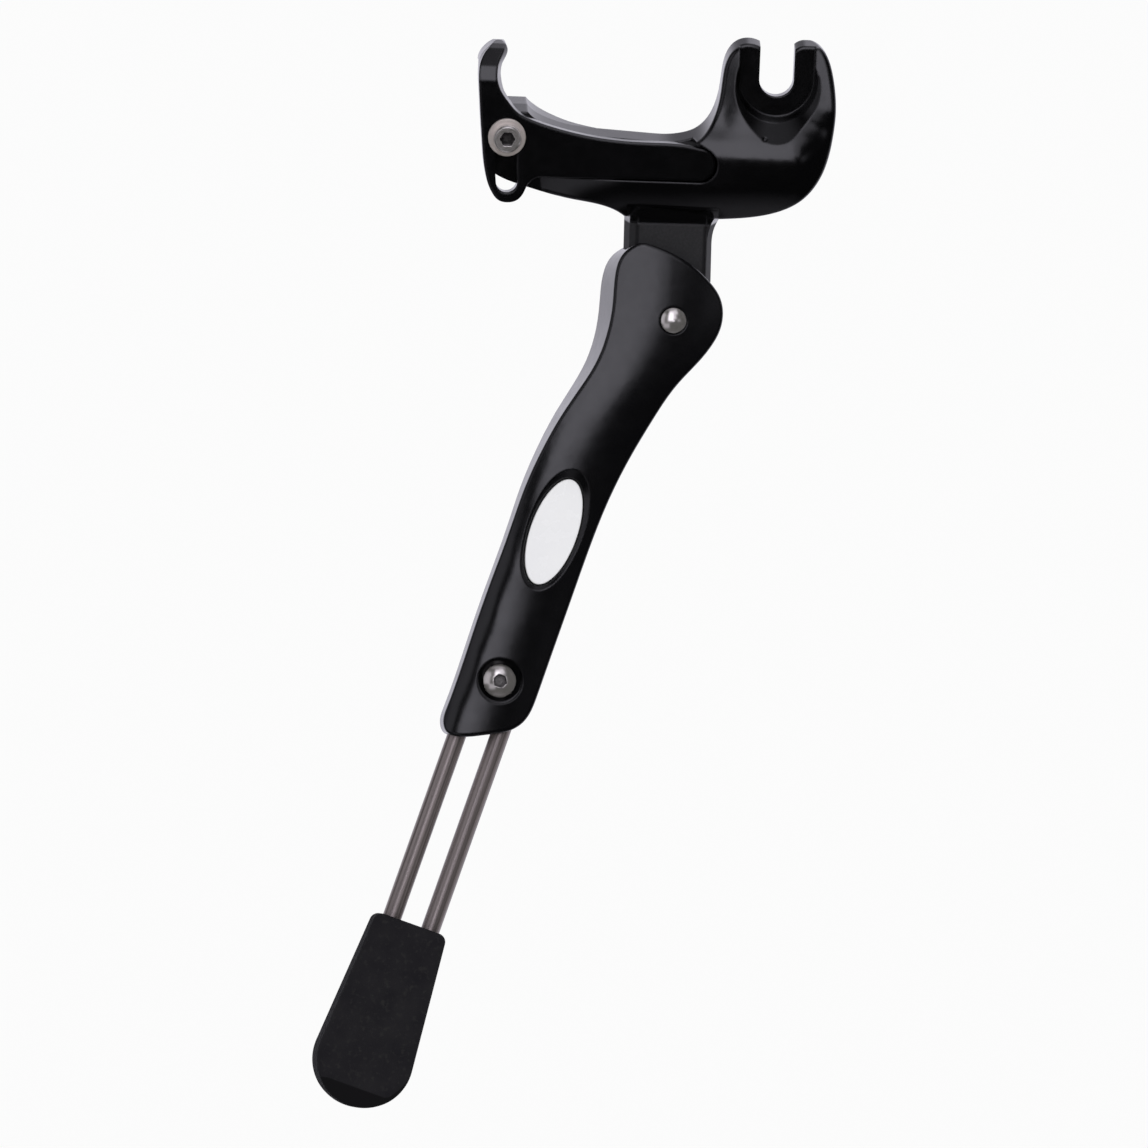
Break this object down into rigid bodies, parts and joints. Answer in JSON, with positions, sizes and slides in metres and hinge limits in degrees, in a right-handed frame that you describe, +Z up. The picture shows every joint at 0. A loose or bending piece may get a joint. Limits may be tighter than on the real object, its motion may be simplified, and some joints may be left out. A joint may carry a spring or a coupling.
{
  "type": "bicycle kickstand",
  "caption": "Rear-axle bicycle kickstand: cast bracket with axle slot and frame-stay hook, detented swinging leg, and a height-adjustable twin rod with a rubber foot.",
  "frame": {"origin": "centre of the axle slot's round end, on the bracket's back face that lies against the frame's dropout", "axes": "+X toward the rear of the bicycle, +Y inward through the dropout, +Z up along the axle slot; the outer side faces -Y"},
  "size_m": [0.1551, 0.0728, 0.3402],
  "materials": {
    "gloss_black_casting": "gloss black coating on cast aluminium",
    "satin_black_casting": "satin black coating on cast aluminium",
    "bright_steel": "bright stainless steel",
    "zinc_steel": "zinc-plated steel",
    "rod_steel": "drawn steel bar, satin",
    "foot_rubber": "matt moulded rubber",
    "white_badge": "pearl white, blank"
  },
  "bodies": {
    "bracket": {"axle_bracket": "gloss_black_casting", "hook_screw": "bright_steel", "hook_washer": "zinc_steel"},
    "hook": {"hook_arm": "gloss_black_casting"},
    "leg": {"leg": "satin_black_casting", "badge": "white_badge", "pivot_rivet": "bright_steel", "detent_spring": "zinc_steel", "rod_clamp_plate": "zinc_steel", "rod_clamp_screw": "bright_steel"},
    "plunger": {"detent_plunger": "zinc_steel"},
    "rods": {"rod_fork": "rod_steel", "foot": "foot_rubber"}
  },
  "joints": [
    {"name": "leg_pivot", "type": "hinge", "parent": "bracket", "child": "leg", "pos_m": [-0.03095, -0.0106, -0.0779], "axis": [0.0691, -0.9879, 0.1392], "range_deg": [0, 110]},
    {"name": "hook_pivot", "type": "hinge", "parent": "bracket", "child": "hook", "pos_m": [-0.0238, -0.011, -0.0273], "axis": [0, 1, 0], "range_deg": [0, 12.7]},
    {"name": "plunger_slide", "type": "slide", "parent": "leg", "child": "plunger", "axis": [0.4904, 0.1551, 0.8576], "range_m": [0, 0.001], "stiffness_N_per_m": 8000, "springref_m": 0.006, "deforming": ["detent_spring"]},
    {"name": "rod_slide", "type": "slide", "parent": "leg", "child": "rods", "axis": [-0.3024, -0.1537, -0.9407], "range_m": [-0.033, 0.008]}
  ]
}
